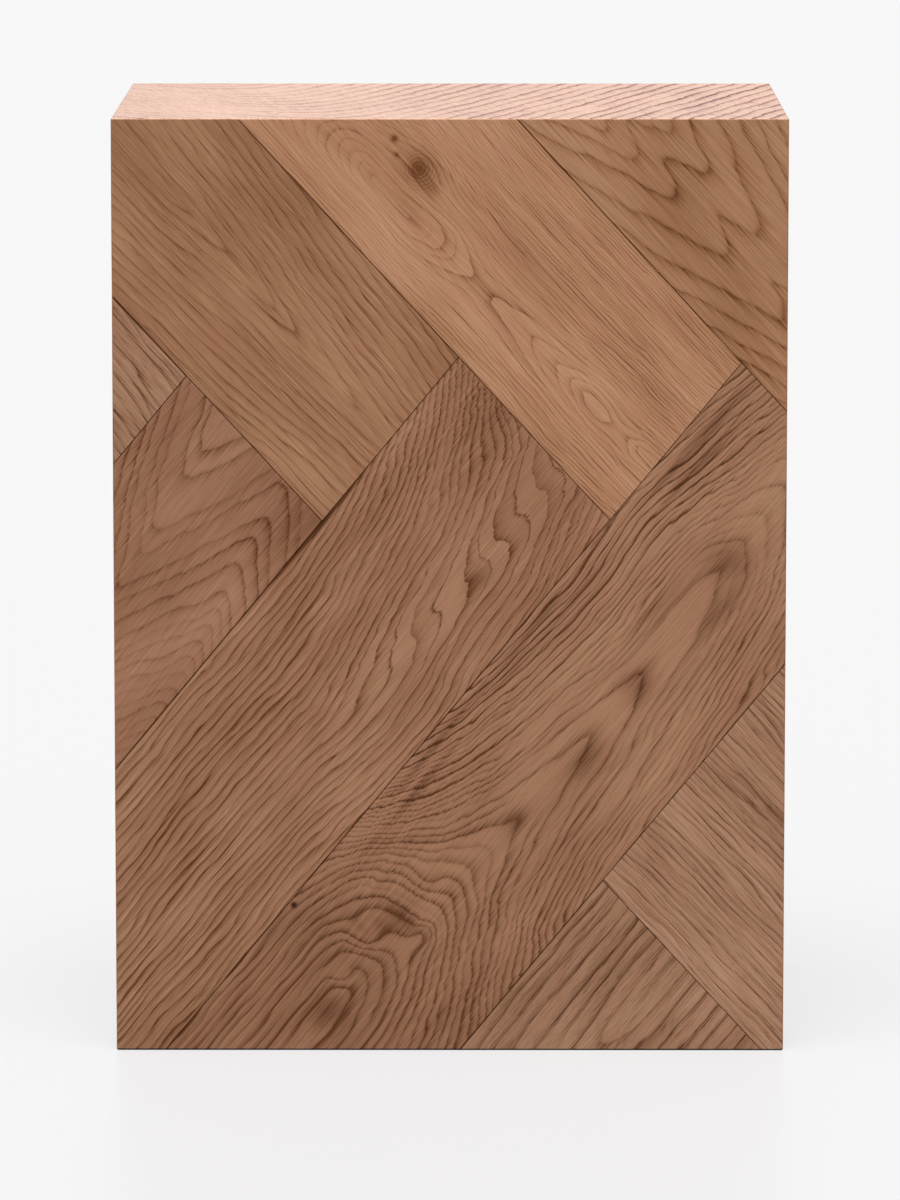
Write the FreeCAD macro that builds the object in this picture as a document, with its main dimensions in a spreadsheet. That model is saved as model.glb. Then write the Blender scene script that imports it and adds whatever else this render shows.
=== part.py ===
"""Parquet block: a hollow block of mitred oak boards with a herringbone front.

Frame: millimetres, +X to the right seen from the front, +Y to the back, +Z up.
The origin is the middle of the underside, and the front face is at -Y.

The front is nine tongue and groove planks in two families. Falling planks run down to the
right and rising planks run up to the right. Their joint lines are set out from one point near
the middle of the front, where the first falling joint crosses the first rising joint. Only
the lowest falling joint is set out from the bottom right corner.
"""
import FreeCAD, Part
import os
from collections import namedtuple

import Sketcher

# Driving dimensions, in millimetres and degrees
DIMENSIONS = {
    # The block and its boards
    "block_width": 300.0,
    "block_depth": 210.0,
    "block_height": 420.0,
    "board_thickness": 15.0,
    "edge_ease": 0.6,
    # Setting out of the herringbone on the front
    "setting_out_from_left": 153.9,
    "setting_out_height": 314.0,
    "falling_angle": 47.3,
    "rising_angle": 50.4,
    "lower_joint_from_right": 9.6,
    # Laid widths of the planks that show their full width
    "top_left_width": 94.6,
    "top_middle_width": 90.7,
    "left_width": 87.8,
    "centre_width": 98.5,
    "long_width": 101.9,
    # Plank stock and its joints
    "plank_length": 600.0,
    "end_allowance": 40.0,
    "corner_allowance": 10.0,
    "joint_gap": 0.3,
    "tongue_depth": 6.0,
    "tongue_length": 4.0,
    "tongue_thickness": 4.0,
    "tongue_play": 0.2,
}

doc = FreeCAD.newDocument("ParquetBlock")


def make_sheet():
    """Spreadsheet with one named cell for each driving dimension."""
    sheet = doc.addObject("Spreadsheet::Sheet", "Dimensions")
    for row, (alias, value) in enumerate(DIMENSIONS.items(), start=1):
        sheet.set(f"A{row}", alias)
        sheet.set(f"B{row}", str(value))
        sheet.setAlias(f"B{row}", alias)
    doc.recompute()


def dim(alias):
    """Expression that reads one driving dimension."""
    return f"Dimensions.{alias}"


def bind(target, expressions):
    """Bind properties of an object to expressions."""
    for path, expression in expressions.items():
        target.setExpression(path, expression)


# Overall sizes, as expressions
WIDTH = dim("block_width")
DEPTH = dim("block_depth")
HEIGHT = dim("block_height")
THICKNESS = dim("board_thickness")
GAP = dim("joint_gap")
PLAY = dim("tongue_play")
LEFT_EDGE = f"(-{WIDTH} / 2)"
RIGHT_EDGE = f"({WIDTH} / 2)"

# Directions of the two families of joints
FALL = dim("falling_angle")
RISE = dim("rising_angle")


def falling_joint(x, z):
    """Distance from the origin of the falling joint line through a point of the front."""
    return f"({x} * sin({FALL}) + {z} * cos({FALL}))"


def rising_joint(x, z):
    """Distance from the origin of the rising joint line through a point of the front."""
    return f"({x} * sin({RISE}) - {z} * cos({RISE}))"


def crossing(falling, rising):
    """X and Z of the point where a falling joint crosses a rising joint."""
    x = f"({falling} * cos({RISE}) + {rising} * cos({FALL})) / sin({FALL} + {RISE})"
    z = f"({falling} * sin({RISE}) - {rising} * sin({FALL})) / sin({FALL} + {RISE})"
    return x, z


def height_on_rising(rising, x):
    """Height at which a rising joint passes a given X."""
    return f"(({x} * sin({RISE}) - {rising}) / cos({RISE}))"


# Joint lines of the front, each as the expression for its distance from the origin
SETTING_X = f"({LEFT_EDGE} + {dim('setting_out_from_left')})"
SETTING_Z = dim("setting_out_height")
FALL_1 = falling_joint(SETTING_X, SETTING_Z)
FALL_0 = f"({FALL_1} - {dim('top_left_width')})"
FALL_2 = f"({FALL_1} + {dim('top_middle_width')})"
FALL_3 = falling_joint(f"({RIGHT_EDGE} - {dim('lower_joint_from_right')})", "0")
RISE_1 = rising_joint(SETTING_X, SETTING_Z)
RISE_0 = f"({RISE_1} - {dim('left_width')})"
RISE_2 = f"({RISE_1} + {dim('centre_width')})"
RISE_3 = f"({RISE_2} + {dim('long_width')})"

# The four planks that an edge of the block cuts lengthwise reach past the corner they fill
SPARE = dim("corner_allowance")
TIP_CORNER = falling_joint(LEFT_EDGE, height_on_rising(RISE_0, LEFT_EDGE))
TOP_CORNER = falling_joint(RIGHT_EDGE, HEIGHT)
RIGHT_CORNER = falling_joint(RIGHT_EDGE, height_on_rising(RISE_3, RIGHT_EDGE))
BOTTOM_CORNER = rising_joint(RIGHT_EDGE, "0")
LEFT_TIP_WIDTH = f"({FALL_0} - {TIP_CORNER} + {SPARE})"
TOP_RIGHT_WIDTH = f"({TOP_CORNER} - {FALL_2} + {SPARE})"
RIGHT_WIDTH = f"({RIGHT_CORNER} - {FALL_3} + {SPARE})"
BOTTOM_WIDTH = f"({BOTTOM_CORNER} - {RISE_3} + {SPARE})"

# A falling plank lies between two falling joints and a rising plank between two rising ones.
# Its grooved side is on the falling joint at its lower left or the rising joint at its lower
# right, its tongue is on the other side, and one end is trimmed along a joint of the other
# family, to the seat of the plank that lies across it there.
Plank = namedtuple("Plank", "falling rising width rises trimmed_to starts_trimmed")


def falling_plank(groove_joint, width, end_joint, trimmed_to=None, starts_trimmed=False):
    return Plank(groove_joint, end_joint, width, False, trimmed_to, starts_trimmed)


def rising_plank(groove_joint, width, end_joint, trimmed_to):
    return Plank(end_joint, groove_joint, width, True, trimmed_to, False)


PLANKS = {
    "front_plank_left_tip": falling_plank(
        f"({FALL_0} - {LEFT_TIP_WIDTH})", LEFT_TIP_WIDTH, RISE_0, "front_plank_left"),
    "front_plank_top_left": falling_plank(
        FALL_0, dim("top_left_width"), RISE_1, "front_plank_centre"),
    "front_plank_top_middle": falling_plank(
        FALL_1, dim("top_middle_width"), RISE_2, "front_plank_long"),
    "front_plank_top_right": falling_plank(
        FALL_2, TOP_RIGHT_WIDTH, RISE_3),
    "front_plank_left": rising_plank(
        RISE_1, dim("left_width"), FALL_0, "front_plank_top_left"),
    "front_plank_centre": rising_plank(
        RISE_2, dim("centre_width"), FALL_1, "front_plank_top_middle"),
    "front_plank_long": rising_plank(
        RISE_3, dim("long_width"), FALL_2, "front_plank_top_right"),
    "front_plank_right": falling_plank(
        FALL_3, RIGHT_WIDTH, RISE_3, "front_plank_long", starts_trimmed=True),
    "front_plank_bottom": rising_plank(
        f"({RISE_3} + {BOTTOM_WIDTH})", BOTTOM_WIDTH, FALL_3, "front_plank_right"),
}

# Sections of a plank's stock, and of the seat that the planks across it are trimmed to.
# Lengths along the depth are measured from the face, and along the width from the shoulders.
Section = namedtuple("Section", "inset width tongue_near tongue_thick tongue_out"
                                " groove_near groove_thick groove_in")
LOOSE_NEAR = f"{dim('tongue_depth')} - {PLAY}"
LOOSE_THICK = f"{dim('tongue_thickness')} + 2 * {PLAY}"


def stock_section(width):
    """Plank section, half a joint gap inside its joint lines, with a loose groove."""
    return Section(
        inset=f"{GAP} / 2", width=f"{width} - {GAP}",
        tongue_near=dim("tongue_depth"), tongue_thick=dim("tongue_thickness"),
        tongue_out=dim("tongue_length"),
        groove_near=LOOSE_NEAR, groove_thick=LOOSE_THICK,
        groove_in=f"{dim('tongue_length')} + {PLAY}")


def seat_section(width):
    """Room that a plank takes, half a joint gap outside its joint lines, with a loose tongue."""
    return Section(
        inset=f"-{GAP} / 2", width=f"{width} + {GAP}",
        tongue_near=LOOSE_NEAR, tongue_thick=LOOSE_THICK,
        tongue_out=f"{dim('tongue_length')} + {PLAY} - {GAP}",
        groove_near=dim("tongue_depth"), groove_thick=dim("tongue_thickness"),
        groove_in=f"{dim('tongue_length')} + {GAP}")


def origin_plane(body, role):
    return next(plane for plane in body.Origin.OriginFeatures if plane.Role == role)


def section_outline():
    """Corners of a tongue and groove section near its final size, as depth and width."""
    thick = DIMENSIONS["board_thickness"]
    wide = DIMENSIONS["centre_width"]
    near = DIMENSIONS["tongue_depth"]
    far = near + DIMENSIONS["tongue_thickness"]
    out = DIMENSIONS["tongue_length"]
    return [
        (0, 0), (0, wide),
        (near, wide), (near, wide + out), (far, wide + out), (far, wide),
        (thick, wide), (thick, 0),
        (far, 0), (far, out), (near, out), (near, 0),
    ]


def draw_section(sketch, section):
    """Closed tongue and groove outline whose corners are driven by the section's lengths."""
    corners = [FreeCAD.Vector(depth, across, 0) for depth, across in section_outline()]
    count = len(corners)
    for index, corner in enumerate(corners):
        sketch.addGeometry(Part.LineSegment(corner, corners[(index + 1) % count]))
    start, end = 1, 2
    origin = (-1, start)
    for index in range(count):
        sketch.addConstraint(Sketcher.Constraint("Coincident", index, end, (index + 1) % count, start))
        direction = "Vertical" if index % 2 == 0 else "Horizontal"
        sketch.addConstraint(Sketcher.Constraint(direction, index))
    face_groove, face_tongue, tongue_root, tongue_tip, _, tongue_back = range(6)
    _, back_groove, groove_back, groove_floor, _, groove_front = range(6, count)
    sketch.addConstraint(Sketcher.Constraint("Coincident", face_groove, start, *origin))
    for first, second in ((tongue_root, tongue_back), (groove_back, groove_front)):
        sketch.addConstraint(Sketcher.Constraint("Horizontal", first, start, second, start))
    sized = (
        ("DistanceY", face_groove, face_tongue, "width", section.width),
        ("DistanceX", face_groove, back_groove, "thickness", THICKNESS),
        ("DistanceX", face_tongue, tongue_root, "tongue_near", section.tongue_near),
        ("DistanceX", tongue_root, tongue_back, "tongue_thick", section.tongue_thick),
        ("DistanceY", tongue_root, tongue_tip, "tongue_out", section.tongue_out),
        ("DistanceX", face_groove, groove_front, "groove_near", section.groove_near),
        ("DistanceX", groove_front, groove_back, "groove_thick", section.groove_thick),
        ("DistanceY", groove_back, groove_floor, "groove_in", section.groove_in),
    )
    for kind, first, second, name, expression in sized:
        axis = 0 if kind == "DistanceX" else 1
        length = section_outline()[second][axis] - section_outline()[first][axis]
        constraint = sketch.addConstraint(
            Sketcher.Constraint(kind, first, start, second, start, length))
        sketch.renameConstraint(constraint, name)
        sketch.setExpression(f"Constraints.{name}", expression)


def make_stock(name, plank, section):
    """Length of plank section, laid along its joint with one end past the joint that trims it."""
    body = doc.addObject("PartDesign::Body", name)
    sketch = body.newObject("Sketcher::SketchObject", f"{name}_section")
    sketch.AttachmentSupport = [(origin_plane(body, "YZ_Plane"), "")]
    sketch.MapMode = "FlatFace"
    draw_section(sketch, section)
    allowance = dim("end_allowance")
    start = f"-{allowance}" if plank.starts_trimmed else f"{allowance} - {dim('plank_length')}"
    bind(sketch, {"AttachmentOffset.Base.y": section.inset, "AttachmentOffset.Base.z": start})
    pad = body.newObject("PartDesign::Pad", f"{name}_length")
    pad.Profile = sketch
    pad.setExpression("Length", dim("plank_length"))
    corner_x, corner_z = crossing(plank.falling, plank.rising)
    body.Placement.Rotation.Axis = FreeCAD.Vector(0, 1, 0)
    bind(body, {
        "Placement.Base.x": corner_x,
        "Placement.Base.y": f"-{DEPTH} / 2",
        "Placement.Base.z": corner_z,
        "Placement.Rotation.Angle": f"-{RISE}" if plank.rises else FALL,
    })
    return body


def make_envelope():
    """The whole block with its arrises eased."""
    body = doc.addObject("PartDesign::Body", "envelope")
    sketch = body.newObject("Sketcher::SketchObject", "envelope_footprint")
    sketch.AttachmentSupport = [(origin_plane(body, "XY_Plane"), "")]
    sketch.MapMode = "FlatFace"
    half_width = DIMENSIONS["block_width"] / 2
    half_depth = DIMENSIONS["block_depth"] / 2
    corners = [
        FreeCAD.Vector(side * half_width, face * half_depth, 0)
        for side, face in ((-1, -1), (1, -1), (1, 1), (-1, 1))
    ]
    start, end = 1, 2
    for index in range(4):
        sketch.addGeometry(Part.LineSegment(corners[index], corners[(index + 1) % 4]))
    for index in range(4):
        sketch.addConstraint(Sketcher.Constraint("Coincident", index, end, (index + 1) % 4, start))
        direction = "Horizontal" if index % 2 == 0 else "Vertical"
        sketch.addConstraint(Sketcher.Constraint(direction, index))
    sketch.addConstraint(Sketcher.Constraint("Symmetric", 0, start, 2, start, -1, start))
    wide = sketch.addConstraint(Sketcher.Constraint("DistanceX", 0, start, 0, end, 2 * half_width))
    deep = sketch.addConstraint(Sketcher.Constraint("DistanceY", 1, start, 1, end, 2 * half_depth))
    sketch.renameConstraint(wide, "wide")
    sketch.renameConstraint(deep, "deep")
    bind(sketch, {"Constraints.wide": WIDTH, "Constraints.deep": DEPTH})
    pad = body.newObject("PartDesign::Pad", "envelope_height")
    pad.Profile = sketch
    pad.setExpression("Length", HEIGHT)
    doc.recompute()
    ease = body.newObject("PartDesign::Chamfer", "envelope_ease")
    ease.Base = (pad, [""])
    ease.UseAllEdges = True
    ease.setExpression("Size", dim("edge_ease"))
    return body


def make_mitred_field(name, width, height, centre, axis, angle):
    """Room of one board: its outer face is width by height and its four edges are mitred."""
    field = doc.addObject("Part::Wedge", f"{name}_field")
    field.Placement.Rotation = FreeCAD.Rotation(FreeCAD.Vector(*axis), angle)
    bind(field, {
        "Ymin": "0", "Ymax": THICKNESS,
        "Xmin": f"-{width} / 2", "Xmax": f"{width} / 2",
        "Zmin": f"-{height} / 2", "Zmax": f"{height} / 2",
        "X2min": f"-{width} / 2 + {THICKNESS}", "X2max": f"{width} / 2 - {THICKNESS}",
        "Z2min": f"-{height} / 2 + {THICKNESS}", "Z2max": f"{height} / 2 - {THICKNESS}",
    })
    for letter, expression in zip("xyz", centre):
        field.setExpression(f"Placement.Base.{letter}", expression)
    return field


def combine(kind, name, base, tool):
    """Boolean of two objects under a label of its own."""
    result = doc.addObject(kind, name)
    result.Base = base
    result.Tool = tool
    result.Refine = True
    result.Label = name
    return result


def make_boards(envelope):
    """The five plain boards and the mitred room for the front, by name."""
    upright = (0, 0, 1)
    across = (1, 0, 0)
    middle = f"{HEIGHT} / 2"
    fields = {
        "front": (WIDTH, HEIGHT, ("0", f"-{DEPTH} / 2", middle), upright, 0),
        "back_board": (WIDTH, HEIGHT, ("0", f"{DEPTH} / 2", middle), upright, 180),
        "left_side_board": (DEPTH, HEIGHT, (LEFT_EDGE, "0", middle), upright, -90),
        "right_side_board": (DEPTH, HEIGHT, (RIGHT_EDGE, "0", middle), upright, 90),
        "top_board": (WIDTH, DEPTH, ("0", "0", HEIGHT), across, -90),
        "base_board": (WIDTH, DEPTH, ("0", "0", "0"), across, 90),
    }
    return {
        name: combine("Part::Common", name, envelope, make_mitred_field(name, *field))
        for name, field in fields.items()
    }


def make_planks(front):
    """The nine planks of the front, each cut from its stock and trimmed to its neighbour's seat."""
    cutters = {plank.trimmed_to for plank in PLANKS.values() if plank.trimmed_to}
    seats = {
        name: make_stock(f"{name}_seat", PLANKS[name], seat_section(PLANKS[name].width))
        for name in sorted(cutters)
    }
    planks = {}
    for name, plank in PLANKS.items():
        stock = make_stock(f"{name}_stock", plank, stock_section(plank.width))
        if plank.trimmed_to:
            stock = combine("Part::Cut", f"{name}_trimmed", stock, seats[plank.trimmed_to])
        planks[name] = combine("Part::Common", name, stock, front)
    return planks


def check_document():
    """Stop on any object that failed to compute."""
    for item in doc.Objects:
        if {"Invalid", "Error"} & set(item.State):
            raise RuntimeError(f"{item.Label} failed: {item.State}")


def check_piece(label, shape):
    """Stop on a piece that isn't one valid solid."""
    if shape.isNull() or not shape.isValid() or len(shape.Solids) != 1:
        raise RuntimeError(f"{label} isn't one valid solid")


def main():
    make_sheet()
    boards = make_boards(make_envelope())
    pieces = make_planks(boards.pop("front"))
    pieces.update(boards)
    doc.recompute()
    check_document()
    for label, piece in pieces.items():
        check_piece(label, piece.Shape)
    os.makedirs("parts", exist_ok=True)
    for label, piece in pieces.items():
        piece.Shape.exportStep(f"parts/{label}.step")
        print(f"{label}: {piece.Shape.Volume / 1000:.1f} cm3")


main()
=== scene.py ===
from collections import namedtuple
from math import radians

import bpy
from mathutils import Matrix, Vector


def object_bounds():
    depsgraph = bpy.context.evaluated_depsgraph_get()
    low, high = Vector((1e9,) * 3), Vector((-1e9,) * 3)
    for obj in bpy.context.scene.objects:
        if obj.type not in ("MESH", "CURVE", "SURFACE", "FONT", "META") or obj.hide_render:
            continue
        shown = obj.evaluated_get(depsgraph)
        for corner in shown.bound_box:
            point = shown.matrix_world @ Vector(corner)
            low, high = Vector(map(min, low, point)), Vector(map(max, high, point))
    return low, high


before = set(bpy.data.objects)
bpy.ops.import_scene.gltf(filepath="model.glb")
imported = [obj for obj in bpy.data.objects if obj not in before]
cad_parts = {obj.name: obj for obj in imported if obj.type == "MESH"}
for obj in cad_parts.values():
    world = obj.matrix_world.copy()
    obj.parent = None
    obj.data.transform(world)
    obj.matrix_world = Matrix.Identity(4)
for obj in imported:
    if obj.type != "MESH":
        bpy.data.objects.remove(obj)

SOLID_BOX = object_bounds()

# The block's own size, in millimetres
MILLIMETRE = 0.001
HALF_WIDTH = SOLID_BOX[1][0] / MILLIMETRE
HEIGHT = SOLID_BOX[1][2] / MILLIMETRE
FRONT_PLANE = SOLID_BOX[0][1] / MILLIMETRE

# Camera, light and floor, in metres and degrees
CAMERA_PLACE = (0.0095, -3.316, 0.6725)
CAMERA_PITCH = 8.285
CAMERA_YAW = 0.168
CAMERA_LENS = 218.15
CAMERA_SENSOR = 36.0
SUN_TILT_FROM_OVERHEAD = 15.0
SUN_TURN = -8.0
SUN_STRENGTH = 3.6
SUN_WIDTH = 40.0
SKY_WHITE = (1.0, 1.0, 1.0, 1.0)
SKY_STRENGTH = 0.55
BACKDROP_WHITE = (0.965, 0.96, 0.965, 1.0)
BACKDROP_STRENGTH = 1.0
BACKDROP_SHARE = 0.68
FLOOR_COLOUR = (0.5, 0.5, 0.505, 1.0)
FLOOR_ROUGHNESS = 0.35
FLOOR_IOR = 1.5
FLOOR_HALF_WIDTH = 20.0

# Setting out of the parquet, in degrees and millimetres on the front face
FALLING_TURN = 47.3
RISING_TURN = -50.4
LEFT_TIP_CORNER = (-117.05, 305.5)
LEFT_CORNER = (-57.0, 240.5)
CENTRE_CORNER = (71.3, 241.0)
TOP_RIGHT_CORNER = (129.7, 311.5)
LOWER_CORNER = (68.5, 77.8)
TOP_LEFT_WIDTH = 94.6
TOP_MIDDLE_WIDTH = 90.7
LEFT_WIDTH = 87.8
CENTRE_WIDTH = 98.5
LONG_WIDTH = 101.9

# The middle of the knot, along and across its plank in millimetres
KNOT = (-173, 44)

# Setting out of the boards: a point on the heart line and the turn of the grain, in millimetres and degrees
TOP_BOARD_POINT = (-80.0, 0.0, 0.0)
TOP_BOARD_TURN = (90.0, 0.0, 105.0)
LEFT_SIDE_POINT = (0.0, 10.0, 200.0)
RIGHT_SIDE_POINT = (0.0, -10.0, 230.0)
SIDE_TURN = (0.0, -90.0, 90.0)
BACK_POINT = (15.0, 0.0, 180.0)
BACK_TURN = (0.0, -90.0, 0.0)
BASE_POINT = (0.0, 0.0, 0.0)
BASE_TURN = (90.0, 0.0, 0.0)

# Streaks of the grain: length and width in millimetres, the step from a plank's seed, and fineness
Streak = namedtuple("Streak", "length width seed_step detail")
SHORT_BEND = Streak(30.0, 9.0, 0, 2.0)
TOOTH = Streak(10.0, 0.8, 1, 2.0)
PATCH = Streak(90.0, 34.0, 2, 1.0)
FIBRE = Streak(24.0, 0.4, 3, 1.0)
PORE = Streak(6.0, 0.4, 4, 1.0)
BROAD_BEND = Streak(80.0, 30.0, 5, 2.0)
LONG_BEND = Streak(160.0, 4.0, 6, 2.0)
GLINT = Streak(24.0, 0.4, 7, 1.0)
ROSY_PATCH = Streak(40.0, 9.0, 8, 2.0)
STREAK_ROUGHNESS = 0.55
SEED_SHIFT = (7.13, 3.37, 5.71)

# Growth lines: how they bend, fray, fade, and vary along a ring and from ring to ring
BROAD_BEND_SHARE = 2.0
LONG_BEND_SHARE = 0.5
RAGGEDNESS = 3.0
FADE_WIDTH = 0.4
VARIETY_LENGTH = 70.0
VARIETY_PER_RING = 0.8
VARIETY_LEVEL = 0.2
VARIETY_CONTRAST = 2.2
RING_SWITCH_STEEPNESS = 20.0

# Depth of colour: nought is pale wood, a half is brown, one is a dark line and more is joint shade
PATCH_DEPTH = 0.55
GLINT_DEPTH = 0.2
GLINT_LEVEL = 0.14
PORE_LEVEL = 0.1
PORE_CROWDING = 0.6
PEAK_STEEPNESS = 9.0
ROSY_CONTRAST = 3.0
JOINT_STAIN = 0.4
JOINT_STAIN_NARROWNESS = 8.0
SHADE_DEPTH = 1.2
FULL_SHADE = 2

# Where the joint and foot shades lie, in millimetres from the front, the outer edges and the floor
JOINT_SHADE_START = 0.12
JOINT_SHADE_FULL = 0.5
EDGE_BAND = 1.5
FOOT_SHADE_FULL = 0.6
FOOT_SHADE_END = 1.1

# The varnished surface: its relief, its roughness, and how lines and pores dull its coat
RELIEF_HEIGHT = 0.25 * MILLIMETRE
RELIEF_STRENGTH = 0.5
FIBRE_RELIEF = 0.35
LINE_RELIEF = 0.6
PORE_RELIEF = 0.5
WOOD_ROUGHNESS = 0.42
LINE_ROUGHNESS = 0.12
PORE_ROUGHNESS = 0.15
FIBRE_ROUGHNESS = 0.2
WOOD_IOR = 1.5
WOOD_SPECULAR = 0.15
COAT_ROUGHNESS = 0.2
LINE_DULLNESS = 0.8
PORE_DULLNESS = 0.5


def srgb(red, green, blue):
    """The linear colour of a paint given as it shows on a screen, from 0 to 255."""
    def linear(level):
        share = level / 255
        if share <= 0.04045:
            return share / 12.92
        return ((share + 0.055) / 1.055) ** 2.4
    return (linear(red), linear(green), linear(blue), 1.0)


class Field:
    """A value that varies over a surface: one output of a node tree."""

    def __init__(self, tree, socket=None):
        self.tree = tree
        self.socket = socket

    def node(self, kind, settings, inputs, output=0):
        """Adds a node, sets it up, fills its inputs by identifier and gives one of its outputs."""
        node = self.tree.nodes.new(kind)
        for name, setting in settings.items():
            if name == "curve":
                draw_curve(node.mapping, setting)
            else:
                setattr(node, name, setting)
        inlets = {inlet.identifier: inlet for inlet in node.inputs}
        for name, value in inputs.items():
            if isinstance(value, Field):
                self.tree.links.new(value.socket, inlets[name])
            else:
                inlets[name].default_value = value
        if not node.outputs:
            return None
        return Field(self.tree, node.outputs[output])

    def math(self, operation, first, second=0.0, third=0.0):
        inputs = {"Value": first, "Value_001": second, "Value_002": third}
        return self.node("ShaderNodeMath", {"operation": operation}, inputs)

    def __add__(self, other):
        return self.math("ADD", self, other)

    def __radd__(self, other):
        return self.math("ADD", other, self)

    def __sub__(self, other):
        return self.math("SUBTRACT", self, other)

    def __rsub__(self, other):
        return self.math("SUBTRACT", other, self)

    def __mul__(self, other):
        return self.math("MULTIPLY", self, other)

    def __rmul__(self, other):
        return self.math("MULTIPLY", other, self)

    def __truediv__(self, other):
        return self.math("DIVIDE", self, other)

    def __rtruediv__(self, other):
        return self.math("DIVIDE", other, self)

    def __abs__(self):
        return self.math("ABSOLUTE", self)

    def power(self, exponent):
        return self.math("POWER", self, exponent)

    def exp(self):
        return self.math("EXPONENT", self)

    def root(self):
        return self.math("SQRT", self)

    def fraction(self):
        return self.math("FRACT", self)

    def clamp(self):
        return self.node("ShaderNodeClamp", {}, {"Value": self})

    def axis(self, name):
        """One coordinate of a place."""
        return self.node("ShaderNodeSeparateXYZ", {}, {"Vector": self}, name)


def empty_tree(owner):
    """The cleared node tree of a material or a world, to add nodes to."""
    owner.use_nodes = True
    owner.node_tree.nodes.clear()
    return Field(owner.node_tree)


def draw_curve(mapping, points):
    """Lays a curve mapping through points from 0 to 1, level beyond its ends."""
    mapping.extend = "HORIZONTAL"
    curve = mapping.curves[0]
    curve.points[0].location = points[0]
    curve.points[1].location = points[-1]
    for place, height in points[1:-1]:
        curve.points.new(place, height)
    for point in curve.points:
        point.handle_type = "AUTO_CLAMPED"
    mapping.update()


def profile(position, points):
    """A smooth curve through given points, level beyond its ends."""
    places = [place for place, height in points]
    heights = [height for place, height in points]
    start = places[0]
    length = places[-1] - start
    lowest = min(heights)
    rise = max(heights) - lowest
    stops = [((place - start) / length, (height - lowest) / rise) for place, height in points]
    share = (position - start) / length
    return share.node("ShaderNodeFloatCurve", {"curve": stops}, {"Value": share}) * rise + lowest


def hypot(first, second):
    """The long side of a right-angled triangle."""
    return (first * first + second * second).root()


def pointed(side, depth, sharpness):
    """Like the long side of a triangle, with a sharper tip the nearer the sharpness is to one."""
    return (abs(side).power(sharpness) + depth.power(sharpness)).power(1.0 / sharpness)


def hill(u, v, at, reach):
    """One at a place, falling off to nothing over its reach along and across the plank."""
    along = (u - at[0]) / reach[0]
    across = (v - at[1]) / reach[1]
    return ((along * along + across * across) * -1.0).exp()


def all_hills(u, v, hills):
    """Several hills together, each at its place with its reach."""
    total = 0.0
    for at, reach in hills:
        total = hill(u, v, at, reach) + total
    return total


def smooth_min(first, second, blend_width):
    """The lesser of two values, rounded off where they meet."""
    return first.math("SMOOTH_MIN", first, second, blend_width)


def smooth_max(first, second, blend_width):
    """The greater of two values, rounded off where they meet."""
    return first.math("SMOOTH_MAX", first, second, blend_width)


def peaks(field, level):
    """Nought up to a level, and one a little above it."""
    return ((field - level) * PEAK_STEEPNESS).clamp()


def around_knot(u, v, at, reach, push):
    """The place across the plank that a line comes from, where lines part round a knot."""
    return v - (v - at[1]) * hill(u, v, at, reach) * push


# Ring figures: ring numbers over a plank, u along its grain and v across it, in millimetres
def left_tip_rings(u, v):
    """Straight lines at a slight slant."""
    slant = 0.12
    spacing = 4.5
    return (v + u * slant) / spacing


def top_left_rings(u, v):
    """Narrow arches along the middle, their tips towards the lower end."""
    heart = 47
    above = v - heart + u * 0.123
    below = heart - v + u * 0.07
    gap = smooth_max(above, below, 5) - hill(u, v, (-150, 49), (62, 13)) * 9
    return profile(gap, [
        (-40, -4), (-21.5, 0), (-17.3, 1), (-10.2, 2), (-7.6, 3), (-2, 4), (4, 5), (9, 6.2),
        (20, 9), (33, 12), (60, 19),
    ])


def top_middle_rings(u, v):
    """Arches about a heart line that wanders, with lines that part round the knot."""
    v = around_knot(u, v, KNOT, (26, 16), 0.75)
    heart = profile(u, [(-250, 22), (-215, 27), (-180, 30), (-150, 28), (-60, 29), (0, 31), (15, 33)])
    depth = profile(u, [
        (-250, 9), (-222, 6), (-213, 5), (-206, 4), (-197, 3), (-189, 2), (-178, 1.3), (-160, 1.3),
        (-146, 2), (-131, 3), (-118, 3.3), (-105, 3), (-67, 2), (-50, 1), (-41, 0.6), (-32, 1),
        (-27, 1.15), (-21, 1), (-10, 0.1), (15, 0),
    ])
    side = profile(v - heart, [(-40, -24), (-28, -16), (-12, -5.5), (0, 0), (10, 5), (25, 14), (65, 44)])
    return hypot(side, depth * profile(u, [(-190, 1.3), (-100, 2)]))


def top_right_rings(u, v):
    """One zigzag across the plank, repeated along it."""
    reach = profile(v, [
        (-5, -98), (0, -85), (5, -64), (11, -45), (17, -28), (22, -12), (27, -2), (31, -7), (35, -17),
        (39, -9), (45, 0), (52, -14), (57, -26), (61, -37), (66, -55), (72, -82), (78, -105), (90, -150),
    ])
    return profile(u - reach, [
        (-180, -3), (-135, -1), (-115, 0), (-97, 1), (-73, 2), (-38, 3), (0, 4), (31, 5), (60, 6),
        (120, 8.5), (180, 11),
    ])


def left_rings(u, v):
    """Chevrons that open towards the upper end, and slanting lines below them."""
    heart = 62
    above = v - heart - u * 0.45
    falling = (heart - v - u * 0.44) * 0.6
    rising = v * 0.6 - u * 0.48 + 10.7
    gap = smooth_min(smooth_max(above, falling, 8), rising, 8)
    return profile(gap, [
        (-30, -6), (-5, -1), (4.5, 0), (9, 1), (18, 2), (22, 3), (28, 4), (32, 5), (37, 6), (42, 7),
        (45, 8), (48, 9), (51, 10), (54, 11), (80, 20),
    ])


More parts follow.
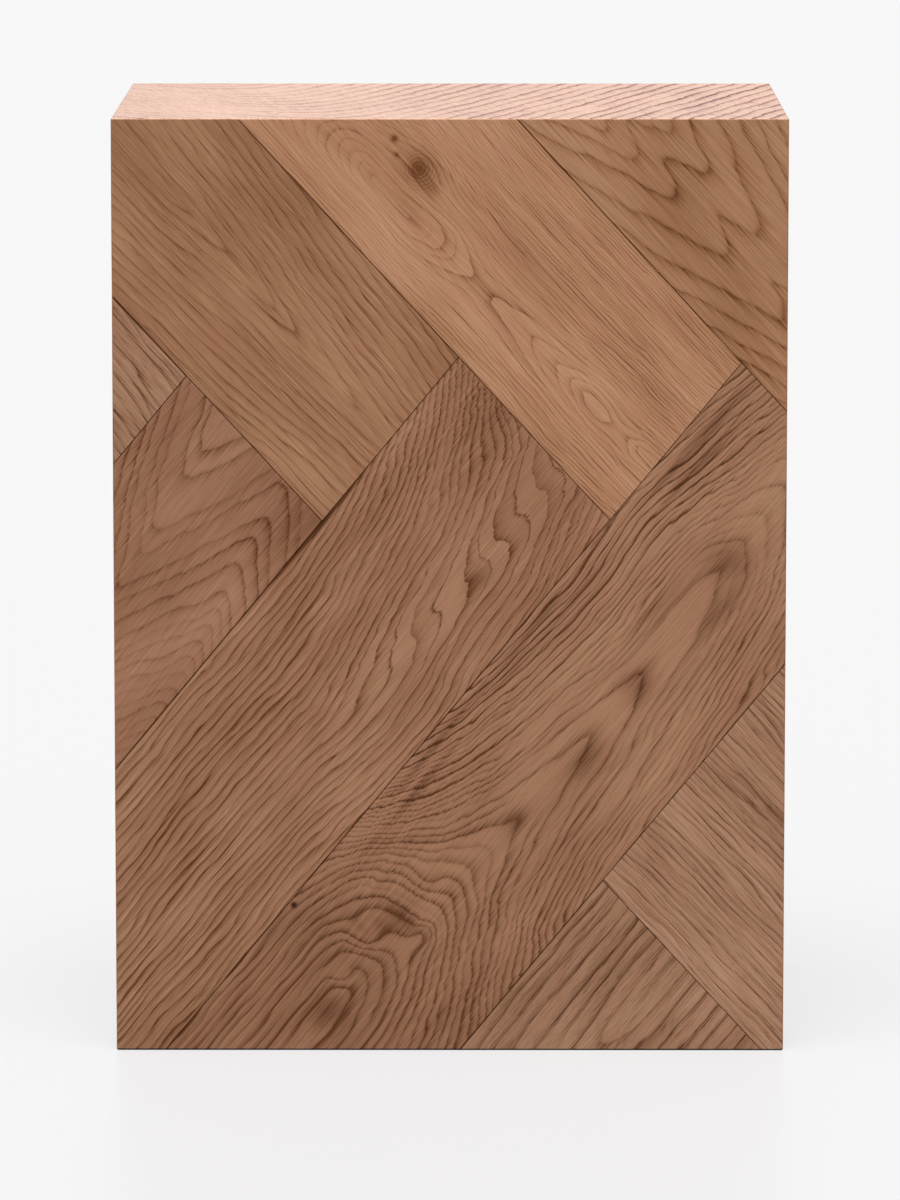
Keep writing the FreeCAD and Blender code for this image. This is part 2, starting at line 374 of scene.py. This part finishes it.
def centre_rings(u, v):
    """Lines along the plank that step and climb near its upper end."""
    step = profile(v, [(22, 0), (27, 2), (38, 11), (43, 12.5), (55, 9), (70, 5), (90, 1), (100, 0)])
    end = profile(u, [(-150, 0), (-95, 0.85), (-80, 0.95), (-60, 0.85), (-40, 1), (-20, 0.9), (25, 0.7)])
    rise = profile(u, [
        (-105, 0), (-80, 1.5), (-60, 4), (-45, 6), (-30, 9.5), (-15, 13.5), (0, 18), (25, 28),
    ])
    steepness = profile(v, [(0, 0.95), (25, 1), (45, 1.3), (60, 1.8), (75, 2.2), (100, 2.3)])
    dip = hill(u, v, (-128, 25), (45, 45)) * 7
    gap = v - step * end + dip - rise * steepness
    return profile(gap, [
        (-60, 20), (-6, 4), (-1.5, 2), (3.5, 0), (10.5, -2), (18, -4), (23.5, -6), (30.5, -8), (38, -10),
        (60, -16), (105, -28.5),
    ])


def long_rings(u, v):
    """Arches about a heart line that starts at an eye near the lower end."""
    heart = profile(u, [
        (-140, 56), (-80, 56), (-40, 52), (0, 48), (50, 46), (90, 46), (150, 50), (220, 52),
    ])
    depth = profile(u, [
        (-140, 0.6), (-125, 0.2), (-100, 2), (-85, 4), (-71, 6), (-62, 8), (-47, 10), (-34, 12), (-3, 14),
        (47, 16), (83, 18), (141, 20), (158, 22), (173, 24), (220, 30),
    ])
    side = profile(v - heart, [(-60, -27), (-25, -10.5), (-10, -4), (0, 0), (10, 4), (25, 13), (60, 36)])
    upper = profile(v - heart, [(-6, 0), (6, 1)])
    flare_above = profile(u, [(-140, 0.6), (-80, 0.55), (-40, 0.35), (0, 0.12), (40, 0)])
    flare_below = profile(u, [(-140, 0.55), (-100, 0.45), (-60, 0.22), (-20, 0.05), (0, 0)])
    spread = side * (1 - flare_below - upper * (flare_above - flare_below))
    sharpness = profile(u, [(-60, 2.2), (-10, 1.5), (60, 1.35), (220, 1.35)])
    lobes = (hill(u, v, (-88, 66), (7, 9)) * 1.8 + hill(u, v, (-50, 62), (8, 9)) * 1.4
             + hill(u, v, (-108, 62), (5, 6)) * 1.2 - hill(u, v, (-70, 45), (9, 6)) * 1.6)
    return pointed(spread, depth, sharpness) + lobes


def right_rings(u, v):
    """Straight lines, close together."""
    slant = 0.03
    spacing = 3.2
    return (v - u * slant) / spacing


def bottom_rings(u, v):
    """The flank of wide arches whose heart lies outside the plank."""
    heart = -49
    spacing = 6.5
    depth = profile(u, [(-110, 3), (-57, 1), (-40, 0.4), (10, 0)])
    return hypot((v - heart) / spacing, depth)


def board_rings(u, v):
    """A plain flat-sawn board, its arches about a heart line near the middle."""
    spacing = 6.5
    depth = profile(u, [(-260, 1), (-120, 3), (-40, 6), (60, 7.5), (260, 12)])
    return hypot(v / spacing, depth)


def top_board_rings(u, v):
    """An arch with its tip at the front, left of the middle."""
    spacing = 8.4
    tip_roundness = 25.0
    across_share = 0.857
    along_share = 0.515
    return (hypot(v, tip_roundness) * across_share - u * along_share) / spacing


# Marks: what is darker than the grain about it, the stain along a plank's joints among them
def joint(distance):
    """The stain at a distance from a joint."""
    return (distance * distance * -JOINT_STAIN_NARROWNESS).exp() * JOINT_STAIN


def both_joints(v, width):
    """The stain along both long edges of a plank."""
    return joint(v) + joint(v - width)


def no_marks(u, v, ragged):
    return 0.0


def lower_joint(u, v, ragged):
    """The stain along the lower edge alone."""
    return joint(v)


def left_tip_marks(u, v, ragged):
    """A stronger stain along the lower edge."""
    return joint(v) * 1.5


def top_left_marks(u, v, ragged):
    return both_joints(v, TOP_LEFT_WIDTH)


def top_middle_marks(u, v, ragged):
    """The knot with its halo, swirl and tail, and two small pips beside it."""
    halo = hill(u, v, (-172, 44), (9, 8))
    swirl = (hypot(u - KNOT[0], v - KNOT[1]) * 0.6).fraction() * halo * 0.3
    knot = hill(u, v, KNOT, (3.5, 3.5)) * 0.3 + halo * 0.25 + swirl
    tail = hill(ragged, v, (-163, 42), (5, 3)) * 0.2
    pips = hill(u, v, (-190, 45), (1.6, 1.6)) * 0.6 + hill(u, v, (-184, 41), (1.4, 1.4)) * 0.35
    return knot + tail + pips + both_joints(v, TOP_MIDDLE_WIDTH)


def left_marks(u, v, ragged):
    """A brown patch at the upper end."""
    return hill(u, v, (-10, 5), (40, 14)) * 0.18 + both_joints(v, LEFT_WIDTH)


def centre_marks(u, v, ragged):
    """A dark hollow by the steps, a browner end and small chips along the upper edge."""
    hollow = hill(u, v, (-58, 28), (9, 5)) * 0.22
    end = hill(u, v, (-8, 55), (30, 40)) * 0.1
    chips = hill(u, v, (-82, 98), (26, 1.2)) * 0.9
    return hollow + end + chips + both_joints(v, CENTRE_WIDTH)


def long_marks(u, v, ragged):
    """A pinhole, an eye, dark flames along the heart, stripes by the upper edge and a browner half."""
    pinhole = hill(u, v, (-97, 99.5), (1.0, 1.0)) * 2
    eye = hill(u, v, (-126, 57), (9, 7)) * 0.2
    flames = all_hills(ragged, v, [
        ((78, 44), (9, 8)), ((38, 41), (11, 6)), ((148, 49), (9, 9)), ((128, 38), (14, 4)),
        ((108, 62), (12, 1.5)), ((-4, 48), (6, 5)), ((-70, 58), (4, 10)),
    ])
    stripes = all_hills(ragged, v, [
        ((95, 91), (32, 1.8)), ((85, 86), (30, 1.2)), ((70, 97), (22, 1.4)), ((160, 95), (26, 1.8)),
        ((172, 87), (28, 1.8)), ((192, 93), (25, 1.5)), ((0, 97), (26, 2)), ((-18, 90), (20, 1.8)),
    ])
    left_half = profile(u, [(-60, 0.1), (60, -0.05)])
    return pinhole + eye + flames * 0.31 + stripes * 0.3 + left_half + both_joints(v, LONG_WIDTH)


def right_marks(u, v, ragged):
    """One dark stripe."""
    return hill(u, v, (30, 78), (30, 2.0)) * 0.2 + joint(v)


# Boldness: where a figure's lines stand out more or less
def even(u, v, rings):
    """All lines alike."""
    return 1.0


def every_other(rings):
    """One for the odd rings and nought for the even ones."""
    return (((rings * 0.5).fraction() - 0.5) * RING_SWITCH_STEEPNESS).clamp()


def top_left_boldness(u, v, rings):
    """Fainter towards the upper end."""
    return profile(u, [(-205, 0.5), (-110, 1)])


def top_middle_boldness(u, v, rings):
    """Every other arch of the heart is the fainter, and so are all of those about the knot."""
    heart = profile(v, [(8, 0), (18, 1), (40, 1), (52, 0)])
    return profile(u, [(-180, 0.65), (-100, 1)]) - every_other(rings) * heart * 0.5


def left_boldness(u, v, rings):
    """Fainter and fainter towards the lower end."""
    return profile(u, [(-130, 0.4), (-70, 0.7), (-25, 1)])


def centre_boldness(u, v, rings):
    """Every other line dies out along the lower edge, towards the upper end."""
    end = profile(u, [(-190, 0), (-110, 1)]) * profile(v, [(45, 1), (65, 0)])
    return profile(u, [(-150, 1), (-60, 0.9)]) - every_other(rings) * end * 0.88


def long_boldness(u, v, rings):
    """Faint arches along the heart, every other one the fainter, and bold stripes along the upper edge."""
    faint = every_other(rings + 0.3)
    beside_heart = hill(u, v, (120, 47), (1000, 16)) * profile(u, [(-30, 0), (10, 1)])
    stripes = profile(v, [(70, 0), (84, 1), (105, 1)]) * profile(u, [(-60, 0), (-20, 1)])
    outer_arch = hill(rings, u, (14.2, -40), (0.5, 60)) - hill(rings, u, (13.2, -20), (0.4, 30)) * 0.6
    return stripes * (0.9 - faint * 1.3) - beside_heart * (faint * 0.6 + 0.35) + outer_arch + 1.0


def top_board_boldness(u, v, rings):
    """Bolder towards the right."""
    return profile(v, [(-80, 0.6), (20, 0.55), (70, 0.9), (260, 1.6)])


Figure = namedtuple("Figure", "rings marks boldness")
PLAIN_BOARD = Figure(board_rings, no_marks, even)
TOP_BOARD = Figure(top_board_rings, no_marks, top_board_boldness)

# Finishes: the colours of the wood and how its grain is laid
Finish = namedtuple("Finish", [
    "pale", "brown", "line", "depth", "strength", "width", "edge", "smoke", "variety", "fibre", "pores",
    "waver", "teeth", "relief", "gloss", "rose", "rosier", "seed",
])
OAK = Finish(
    # from the palest wood to the darkest line
    pale=srgb(184, 142, 109),
    brown=srgb(149, 106, 75),
    line=srgb(90, 46, 8),
    # how deep the colour is between the lines
    depth=0.36,
    # a line: how dark, how far its soft and sharp sides reach, the haze beside it and how it varies
    strength=0.42,
    width=0.2,
    edge=0.05,
    smoke=0.25,
    variety=0.9,
    # how much the fibres and the open pores show
    fibre=0.45,
    pores=0.2,
    # how much the lines bend and fray
    waver=5.0,
    teeth=5.0,
    # how deep the pores and lines are cut, and how glossy the varnish is
    relief=1.0,
    gloss=0.05,
    # how rosy the wood is, and how much rosier with each millimetre along the plank
    rose=0.5,
    rosier=0.0,
    # where in the endless noise the streaks are taken from
    seed=1.0,
)
UMBER_OAK = OAK._replace(pale=srgb(184, 143, 111))
GREY_OAK = OAK._replace(
    pale=srgb(184, 146, 118), brown=srgb(150, 111, 83), line=srgb(84, 48, 24), fibre=0.8, pores=0.45)
LEFT_TIP_OAK = GREY_OAK._replace(strength=0.36, seed=2.0)
TOP_LEFT_OAK = OAK._replace(
    depth=0.43, strength=0.36, width=0.13, smoke=0.12, variety=0.7, fibre=0.65, waver=4.0, teeth=2.0,
    seed=12.0)
TOP_MIDDLE_OAK = OAK._replace(
    pale=srgb(200, 156, 123), brown=srgb(168, 122, 88), line=srgb(106, 60, 26), depth=0.38, strength=0.31,
    width=0.22, fibre=0.6, waver=4.0, teeth=2.5, seed=22.0)
TOP_RIGHT_OAK = OAK._replace(
    brown=srgb(149, 105, 71), depth=0.3, strength=0.45, width=0.15, smoke=0.02, variety=0.4, fibre=0.6,
    teeth=3.5, rose=0.7, seed=32.0)
LEFT_OAK = UMBER_OAK._replace(
    brown=srgb(150, 107, 80), depth=0.46, strength=0.38, width=0.16, smoke=0.15, fibre=0.5, teeth=2.5,
    seed=42.0)
CENTRE_OAK = OAK._replace(
    pale=srgb(190, 150, 120), brown=srgb(150, 108, 79), line=srgb(90, 49, 15), depth=0.41, strength=0.47,
    width=0.24, variety=0.7, fibre=0.5, teeth=3.5, rose=1.3, rosier=0.005, seed=52.0)
LONG_OAK = UMBER_OAK._replace(
    brown=srgb(150, 108, 80), line=srgb(88, 50, 20), strength=0.39, width=0.26, edge=0.1, smoke=0.3,
    teeth=3.0, seed=62.0)
RIGHT_OAK = GREY_OAK._replace(depth=0.3, strength=0.3, seed=72.0)
BOTTOM_OAK = GREY_OAK._replace(depth=0.42, strength=0.36, seed=82.0)
# The top board's colours are painted light: paler than the front planks' oak, standing in for the stronger
# light from above and the sheen it catches
TOP_BOARD_PAINTED_LIT_OAK = OAK._replace(
    pale=srgb(211, 160, 122), brown=srgb(188, 137, 102), line=srgb(130, 52, 18), strength=1.0, width=0.13,
    fibre=0.9, pores=0.8, waver=3.0, teeth=3.0, relief=6.0, gloss=0.55, seed=92.0)
JOINT_SHADE = srgb(30, 16, 8)
ROSE_TINT = (0.985, 0.925, 0.94, 1.0)


def streaks(place, streak, seed):
    """Noise about nought, drawn out along the grain to a streak's length and width."""
    inputs = {
        "Vector": place,
        "Location": [(seed + streak.seed_step) * shift for shift in SEED_SHIFT],
        "Scale": (1 / streak.length, 1 / streak.width, 1 / streak.width),
    }
    spread = place.node("ShaderNodeMapping", {"vector_type": "POINT"}, inputs)
    inputs = {"Vector": spread, "Scale": 1.0, "Detail": streak.detail, "Roughness": STREAK_ROUGHNESS}
    return place.node("ShaderNodeTexNoise", {}, inputs) - 0.5


def blend(amount, first, second, way="MIX"):
    """One colour turned into another, or tinted by it, by an amount from 0 to 1."""
    inputs = {"Factor_Float": amount, "A_Color": first, "B_Color": second}
    return amount.node("ShaderNodeMix", {"data_type": "RGBA", "blend_type": way}, inputs, 2)


def foot_shade(here):
    """The dark line along the bottom edge, where the block meets what it stands on."""
    z = here.axis("Z") / MILLIMETRE
    return profile(z, [(FOOT_SHADE_FULL, FULL_SHADE), (FOOT_SHADE_END, 0)])


def joint_and_foot_shade(here):
    """Where the surface falls back from the front face, clear of the outer edges, and along the foot."""
    x = here.axis("X") / MILLIMETRE
    y = here.axis("Y") / MILLIMETRE
    z = here.axis("Z") / MILLIMETRE
    side = HALF_WIDTH - EDGE_BAND
    between_sides = profile(x, [(-HALF_WIDTH, 0), (-side, 1), (side, 1), (HALF_WIDTH, 0)])
    below_top = profile(z, [(HEIGHT - EDGE_BAND, 1), (HEIGHT, 0)])
    fallen_back = profile(y - FRONT_PLANE, [(JOINT_SHADE_START, 0), (JOINT_SHADE_FULL, FULL_SHADE)])
    return fallen_back * between_sides * below_top + foot_shade(here)


def growth_lines(place, u, v, teeth, figure, finish):
    """A crisp line at each ring, some bolder than others, and a wider fade on one side of it."""
    bends = (streaks(place, BROAD_BEND, finish.seed) * BROAD_BEND_SHARE
             + streaks(place, SHORT_BEND, finish.seed)
             + streaks(place, LONG_BEND, finish.seed) * LONG_BEND_SHARE)
    rings = figure.rings(u + teeth, v + bends * finish.waver)
    phase = rings.fraction()
    inputs = {"X": u / VARIETY_LENGTH, "Y": rings * VARIETY_PER_RING, "Z": finish.seed}
    along_rings = u.node("ShaderNodeCombineXYZ", {}, inputs)
    vary = u.node("ShaderNodeTexNoise", {}, {"Vector": along_rings, "Scale": 1.0, "Detail": 1.0})
    varied = ((vary - VARIETY_LEVEL) * VARIETY_CONTRAST).clamp() * finish.variety + (1.0 - finish.variety)
    boldness = varied * figure.boldness(u, v, rings)
    line = ((phase / -finish.width).exp() + ((phase - 1.0) / finish.edge).exp()) * boldness
    fade = (phase / -FADE_WIDTH).exp() * boldness
    return line, fade


def oak_colour(place, u, depth, shade, finish):
    """From pale wood to brown to a dark line, rosy in patches, and near black in the joints."""
    body = blend((depth * 2.0).clamp(), finish.pale, finish.brown)
    lined = blend((depth * 2.0 - 1.0).clamp(), body, finish.line)
    patches = streaks(place, ROSY_PATCH, finish.seed) * ROSY_CONTRAST
    rosy = (patches + u * finish.rosier + finish.rose).clamp()
    tinted = blend(rosy, lined, ROSE_TINT, "MULTIPLY")
    return blend((shade + depth - SHADE_DEPTH).clamp(), tinted, JOINT_SHADE)


def oak_material(name, corner, turn, figure, shade_of, finish):
    """Varnished oak whose grain runs along a plank turned by an angle about its corner."""
    material = bpy.data.materials.new(name)
    here = empty_tree(material).node("ShaderNodeTexCoord", {}, {}, "Object")
    inputs = {
        "Vector": here,
        "Location": [size * MILLIMETRE for size in corner],
        "Rotation": [radians(angle) for angle in turn],
        "Scale": (MILLIMETRE, MILLIMETRE, MILLIMETRE),
    }
    place = here.node("ShaderNodeMapping", {"vector_type": "TEXTURE"}, inputs)
    u = place.axis("X")
    v = place.axis("Z")

    # lines, fine fibres with pale glints, open pores that crowd by the lines, and broad cloudy patches
    teeth = streaks(place, TOOTH, finish.seed) * finish.teeth
    line, fade = growth_lines(place, u, v, teeth, figure, finish)
    fibre = streaks(place, FIBRE, finish.seed)
    glints = peaks(streaks(place, GLINT, finish.seed), GLINT_LEVEL)
    crowding = fade * PORE_CROWDING + (1.0 - PORE_CROWDING)
    pores = peaks(streaks(place, PORE, finish.seed), PORE_LEVEL) * crowding
    patches = streaks(place, PATCH, finish.seed)
    marks = figure.marks(u, v, u + teeth * RAGGEDNESS)
    depth = (patches * PATCH_DEPTH + fibre * finish.fibre + fade * (fibre + finish.smoke)
             + line * finish.strength + pores * finish.pores - glints * GLINT_DEPTH + marks + finish.depth)

    height = fibre * FIBRE_RELIEF - line * LINE_RELIEF - pores * PORE_RELIEF
    inputs = {"Strength": RELIEF_STRENGTH, "Distance": RELIEF_HEIGHT * finish.relief, "Height": height}
    normal = place.node("ShaderNodeBump", {}, inputs)
    roughness = line * LINE_ROUGHNESS + pores * PORE_ROUGHNESS + fibre * FIBRE_ROUGHNESS + WOOD_ROUGHNESS
    coat = (1.0 - line * LINE_DULLNESS - pores * PORE_DULLNESS) * finish.gloss
    inputs = {
        "Base Color": oak_colour(place, u, depth, shade_of(here), finish),
        "Roughness": roughness.clamp(),
        "IOR": WOOD_IOR,
        "Specular IOR Level": WOOD_SPECULAR,
        "Coat Weight": coat.clamp(),
        "Coat Roughness": COAT_ROUGHNESS,
        "Normal": normal,
    }
    surface = place.node("ShaderNodeBsdfPrincipled", {}, inputs)
    surface.node("ShaderNodeOutputMaterial", {}, {"Surface": surface})
    return material


def dress(node, material):
    """Gives a solid of the frame its finish."""
    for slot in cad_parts[node].material_slots:
        slot.material = material


def dress_planks():
    """Each front plank has its own figure, measured from a corner of the herringbone."""
    falling = (0.0, FALLING_TURN, 0.0)
    rising = (0.0, RISING_TURN, 0.0)
    planks = [
        ("left_tip", LEFT_TIP_CORNER, falling, LEFT_TIP_OAK,
         Figure(left_tip_rings, left_tip_marks, even)),
        ("top_left", LEFT_CORNER, falling, TOP_LEFT_OAK,
         Figure(top_left_rings, top_left_marks, top_left_boldness)),
        ("top_middle", CENTRE_CORNER, falling, TOP_MIDDLE_OAK,
         Figure(top_middle_rings, top_middle_marks, top_middle_boldness)),
        ("top_right", TOP_RIGHT_CORNER, falling, TOP_RIGHT_OAK,
         Figure(top_right_rings, lower_joint, even)),
        ("left", LEFT_CORNER, rising, LEFT_OAK,
         Figure(left_rings, left_marks, left_boldness)),
        ("centre", CENTRE_CORNER, rising, CENTRE_OAK,
         Figure(centre_rings, centre_marks, centre_boldness)),
        ("long", LOWER_CORNER, rising, LONG_OAK,
         Figure(long_rings, long_marks, long_boldness)),
        ("right", LOWER_CORNER, falling, RIGHT_OAK,
         Figure(right_rings, right_marks, even)),
        ("bottom", LOWER_CORNER, rising, BOTTOM_OAK,
         Figure(bottom_rings, lower_joint, even)),
    ]
    for name, (x, z), turn, finish, figure in planks:
        material = oak_material("oak_" + name, (x, 0.0, z), turn, figure, joint_and_foot_shade, finish)
        dress("front_plank_" + name, material)


def dress_boards():
    """The top board and the plain boards of the sides, back and base."""
    boards = [
        ("top_board", TOP_BOARD_POINT, TOP_BOARD_TURN, TOP_BOARD, TOP_BOARD_PAINTED_LIT_OAK),
        ("left_side_board", LEFT_SIDE_POINT, SIDE_TURN, PLAIN_BOARD, OAK._replace(seed=102.0)),
        ("right_side_board", RIGHT_SIDE_POINT, SIDE_TURN, PLAIN_BOARD, OAK._replace(seed=112.0)),
        ("back_board", BACK_POINT, BACK_TURN, PLAIN_BOARD, OAK._replace(seed=122.0)),
        ("base_board", BASE_POINT, BASE_TURN, PLAIN_BOARD, OAK._replace(seed=132.0)),
    ]
    for name, point, turn, figure, finish in boards:
        dress(name, oak_material("oak_" + name, point, turn, figure, foot_shade, finish))


def seen_directly(base):
    """One for the rays that show a surface itself: straight, mirrored or through glass."""
    kinds = ("Is Camera Ray", "Is Glossy Ray", "Is Transmission Ray")
    straight, mirrored, through = [base.node("ShaderNodeLightPath", {}, {}, kind) for kind in kinds]
    return (straight + mirrored + through).clamp()


def make_floor():
    """A wide pale floor that fades to the backdrop's white and keeps a soft shadow."""
    half = FLOOR_HALF_WIDTH
    mesh = bpy.data.meshes.new("floor")
    corners = [(-half, -half, 0.0), (half, -half, 0.0), (half, half, 0.0), (-half, half, 0.0)]
    mesh.from_pydata(corners, [], [(0, 1, 2, 3)])
    floor = bpy.data.objects.new("floor", mesh)
    bpy.context.scene.collection.objects.link(floor)
    material = bpy.data.materials.new("floor_paint")
    base = empty_tree(material)
    inputs = {"Base Color": FLOOR_COLOUR, "Roughness": FLOOR_ROUGHNESS, "IOR": FLOOR_IOR}
    paint = base.node("ShaderNodeBsdfPrincipled", {}, inputs)
    glow = base.node("ShaderNodeEmission", {}, {"Color": BACKDROP_WHITE, "Strength": BACKDROP_STRENGTH})
    inputs = {"Fac": seen_directly(base) * BACKDROP_SHARE, "Shader": paint, "Shader_001": glow}
    mixed = base.node("ShaderNodeMixShader", {}, inputs)
    mixed.node("ShaderNodeOutputMaterial", {}, {"Surface": mixed})
    mesh.materials.append(material)


def light_studio():
    """Soft light from all round and a wide lamp from above, and a white backdrop."""
    world = bpy.data.worlds.new("studio")
    bpy.context.scene.world = world
    base = empty_tree(world)
    sky = base.node("ShaderNodeBackground", {}, {"Color": SKY_WHITE, "Strength": SKY_STRENGTH})
    inputs = {"Color": BACKDROP_WHITE, "Strength": BACKDROP_STRENGTH}
    backdrop = base.node("ShaderNodeBackground", {}, inputs)
    inputs = {"Fac": seen_directly(base), "Shader": sky, "Shader_001": backdrop}
    mixed = base.node("ShaderNodeMixShader", {}, inputs)
    mixed.node("ShaderNodeOutputWorld", {}, {"Surface": mixed})
    lamp = bpy.data.lights.new("overhead_lamp", "SUN")
    lamp.energy = SUN_STRENGTH
    lamp.angle = radians(SUN_WIDTH)
    sun = bpy.data.objects.new("overhead_lamp", lamp)
    sun.rotation_euler = (radians(SUN_TILT_FROM_OVERHEAD), 0.0, radians(SUN_TURN))
    bpy.context.scene.collection.objects.link(sun)


def make_camera():
    """The photograph's view: straight on to the front, from a little above."""
    lens = bpy.data.cameras.new("camera")
    lens.lens = CAMERA_LENS
    lens.sensor_width = CAMERA_SENSOR
    camera = bpy.data.objects.new("camera", lens)
    camera.location = CAMERA_PLACE
    camera.rotation_euler = (radians(90.0 - CAMERA_PITCH), 0.0, radians(CAMERA_YAW))
    bpy.context.scene.collection.objects.link(camera)
    bpy.context.scene.camera = camera


dress_planks()
dress_boards()
make_floor()
light_studio()
make_camera()
bpy.context.scene.view_settings.view_transform = "Standard"
